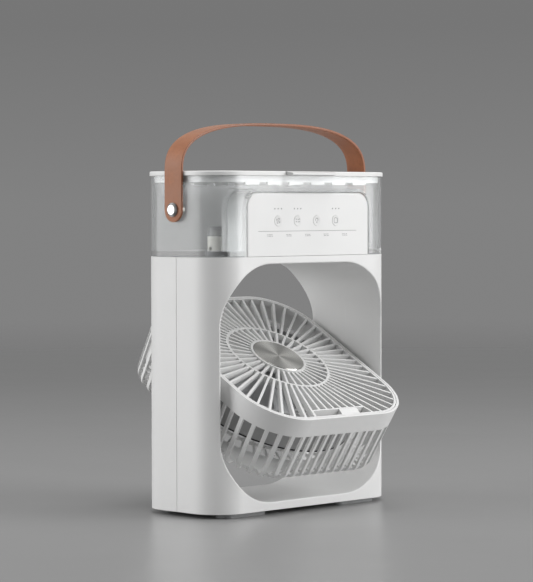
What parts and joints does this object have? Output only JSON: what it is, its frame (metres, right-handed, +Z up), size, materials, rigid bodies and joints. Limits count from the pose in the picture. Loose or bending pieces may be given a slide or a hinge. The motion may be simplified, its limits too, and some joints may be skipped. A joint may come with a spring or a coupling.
{
  "type": "portable desktop air cooler fan",
  "caption": "Rounded rectangular housing with a tilting fan head in a through window, a clear water tank and push-button panel above it, and a swinging carry strap.",
  "frame": {"origin": "on the surface the feet stand on, under the centre of the housing", "axes": "+Z up, +X to the right seen from the front, the front faces -Y"},
  "size_m": [0.211, 0.1768, 0.3031],
  "materials": {
    "shell_white": "satin white ABS",
    "duct_grey": "satin mid-grey ABS",
    "flap_white": "satin white ABS",
    "screw_steel": "zinc plated",
    "foot_pad": "translucent grey silicone",
    "socket_metal": "plated shell",
    "tank_clear": "clear smoky grey polystyrene",
    "seal_rubber": "soft grey silicone",
    "strap_leather": "smooth brown leather with fine grain",
    "rivet_metal": "nickel plated",
    "washer_plastic": "natural nylon",
    "button_white": "matte white",
    "light_pipe": "frosted clear",
    "circuit_board": "green solder mask",
    "switch_dark": "black",
    "mist_disc": "plated ceramic disc",
    "wick_cotton": "white fibre",
    "cup_plastic": "off-white plastic",
    "cap_clear": "clear plastic",
    "cap_brushed": "spun brushed",
    "motor_metal": "zinc plated can",
    "shaft_steel": "ground steel",
    "impeller_grey": "light grey plastic",
    "pin_plastic": "white acetal"
  },
  "bodies": {
    "base": {"button_pad": "seal_rubber", "control_board": "circuit_board", "control_box": "shell_white", "foot_front_left": "foot_pad", "foot_front_right": "foot_pad", "foot_rear_left": "foot_pad", "foot_rear_right": "foot_pad", "front_housing": "shell_white", "housing_screws": "screw_steel", "indicator_lights": "light_pipe", "lamp_board": "circuit_board", "lid_seal": "seal_rubber", "mist_disc_left": "mist_disc", "mist_disc_right": "mist_disc", "mist_nozzle_left": "cup_plastic", "mist_nozzle_right": "cup_plastic", "mist_seal_left": "seal_rubber", "mist_seal_right": "seal_rubber", "pivot_bush_left": "pin_plastic", "pivot_bush_right": "pin_plastic", "rear_housing": "shell_white", "rivet_left": "rivet_metal", "rivet_nut_left": "screw_steel", "rivet_nut_right": "screw_steel", "rivet_right": "rivet_metal", "strap_washer_left": "washer_plastic", "strap_washer_right": "washer_plastic", "tact_switches": "switch_dark", "tank_gasket": "seal_rubber", "tank_lid": "shell_white", "usb_socket": "socket_metal", "water_tank": "tank_clear", "wick_cap_left": "cap_clear", "wick_cap_right": "cap_clear", "wick_cup_left": "cup_plastic", "wick_cup_right": "cup_plastic", "wick_left": "wick_cotton", "wick_right": "wick_cotton"},
    "head": {"head_cage": "shell_white", "front_grille": "shell_white", "centre_cap": "cap_brushed", "grille_latch": "shell_white", "air_duct": "duct_grey", "motor": "motor_metal", "motor_screws": "screw_steel", "pivot_pin_left": "pin_plastic", "pivot_pin_right": "pin_plastic"},
    "impeller": {"impeller": "impeller_grey", "motor_shaft": "shaft_steel", "impeller_nut": "screw_steel"},
    "handle": {"handle_strap": "strap_leather"},
    "flap": {"filler_flap": "flap_white", "flap_seal": "seal_rubber"},
    "fan_button": {"button_fan": "button_white"},
    "mist_button": {"button_mist": "button_white"},
    "lamp_button": {"button_lamp": "button_white"},
    "timer_button": {"button_timer": "button_white"}
  },
  "joints": [
    {"name": "head_tilt", "type": "hinge", "parent": "base", "child": "head", "pos_m": [0, 0, 0.101], "axis": [1, 0, 0], "range_deg": [0, 120]},
    {"name": "impeller_spin", "type": "hinge", "parent": "head", "child": "impeller", "pos_m": [0, 0, 0.101], "axis": [0, -0.5, 0.866], "continuous": true},
    {"name": "handle_swing", "type": "hinge", "parent": "base", "child": "handle", "pos_m": [0, 0, 0.2354], "axis": [1, 0, 0], "range_deg": [-120, 120]},
    {"name": "flap_open", "type": "hinge", "parent": "base", "child": "flap", "pos_m": [0, 0.002, 0.2634], "axis": [-1, 0, 0], "range_deg": [0, 60]},
    {"name": "fan_press", "type": "slide", "parent": "base", "child": "fan_button", "axis": [0, 1, 0], "range_m": [0, 0.0004], "stiffness_N_per_m": 300},
    {"name": "mist_press", "type": "slide", "parent": "base", "child": "mist_button", "axis": [0, 1, 0], "range_m": [0, 0.0004], "stiffness_N_per_m": 300},
    {"name": "lamp_press", "type": "slide", "parent": "base", "child": "lamp_button", "axis": [0, 1, 0], "range_m": [0, 0.0004], "stiffness_N_per_m": 300},
    {"name": "timer_press", "type": "slide", "parent": "base", "child": "timer_button", "axis": [0, 1, 0], "range_m": [0, 0.0004], "stiffness_N_per_m": 300}
  ]
}
